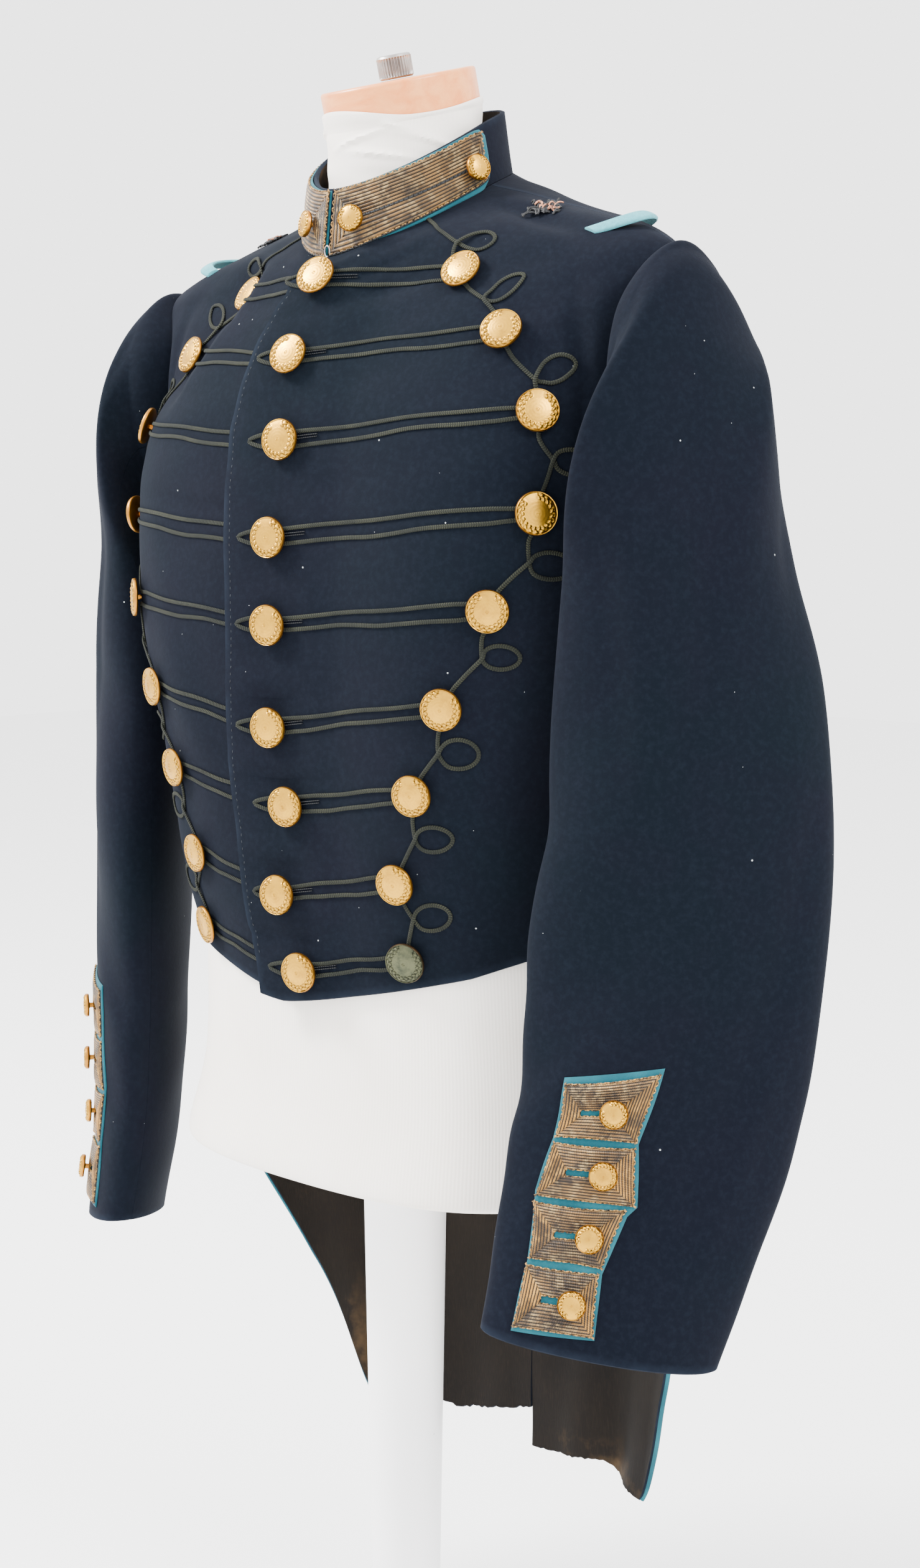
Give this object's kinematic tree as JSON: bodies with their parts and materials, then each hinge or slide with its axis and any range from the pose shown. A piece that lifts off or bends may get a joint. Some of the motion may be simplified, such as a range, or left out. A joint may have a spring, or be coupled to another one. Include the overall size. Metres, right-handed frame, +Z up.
{
  "type": "tailcoat on a dress form",
  "caption": "Short-fronted wool tailcoat with braided front, stand collar, laced cuff patches and long tails, worn by a limbless dress form on a post and round base.",
  "frame": {"origin": "centre of the underside of the base, under the post", "axes": "+Z up along the post, the coat faces -Y, the wearer's left is +X"},
  "size_m": [0.5638, 0.32, 1.0072],
  "materials": {
    "navy_wool": "milled and napped",
    "teal_facing": "matte",
    "gold_lace": "tarnished metal thread",
    "braid": "matte worsted",
    "gilt_brass": "worn gilt",
    "jersey": "matte",
    "pale_wood": "varnished",
    "steel": "plated",
    "white_paint": "satin"
  },
  "bodies": {
    "root": {"front_left": "navy_wool", "back_left": "navy_wool", "sleeve_left_top": "navy_wool", "sleeve_left_under": "navy_wool", "collar_lace_left": "gold_lace", "cuff_lace_left": "gold_lace", "shoulder_loop_left": "teal_facing", "braid_left": "braid", "front_right": "navy_wool", "back_right": "navy_wool", "sleeve_right_top": "navy_wool", "sleeve_right_under": "navy_wool", "collar_lace_right": "gold_lace", "cuff_lace_right": "gold_lace", "shoulder_loop_right": "teal_facing", "braid_right": "braid", "collar": "navy_wool", "form_torso": "jersey", "form_cap": "pale_wood", "form_knob": "steel", "form_stand": "white_paint", "button_left_1": "gilt_brass", "button_centre_1": "gilt_brass", "button_right_1": "gilt_brass", "button_left_2": "gilt_brass", "button_centre_2": "gilt_brass", "button_right_2": "gilt_brass", "button_left_3": "gilt_brass", "button_centre_3": "gilt_brass", "button_right_3": "gilt_brass", "button_left_4": "gilt_brass", "button_centre_4": "gilt_brass", "button_right_4": "gilt_brass", "button_left_5": "gilt_brass", "button_centre_5": "gilt_brass", "button_right_5": "gilt_brass", "button_left_6": "gilt_brass", "button_centre_6": "gilt_brass", "button_right_6": "gilt_brass", "button_left_7": "gilt_brass", "button_centre_7": "gilt_brass", "button_right_7": "gilt_brass", "button_left_8": "gilt_brass", "button_centre_8": "gilt_brass", "button_right_8": "gilt_brass", "button_left_9": "gilt_brass", "button_centre_9": "gilt_brass", "button_right_9": "gilt_brass", "collar_button_left_front": "gilt_brass", "collar_button_left_rear": "gilt_brass", "cuff_button_left_1": "gilt_brass", "cuff_button_left_2": "gilt_brass", "cuff_button_left_3": "gilt_brass", "cuff_button_left_4": "gilt_brass", "collar_button_right_front": "gilt_brass", "collar_button_right_rear": "gilt_brass", "cuff_button_right_1": "gilt_brass", "cuff_button_right_2": "gilt_brass", "cuff_button_right_3": "gilt_brass", "cuff_button_right_4": "gilt_brass"}
  },
  "joints": []
}
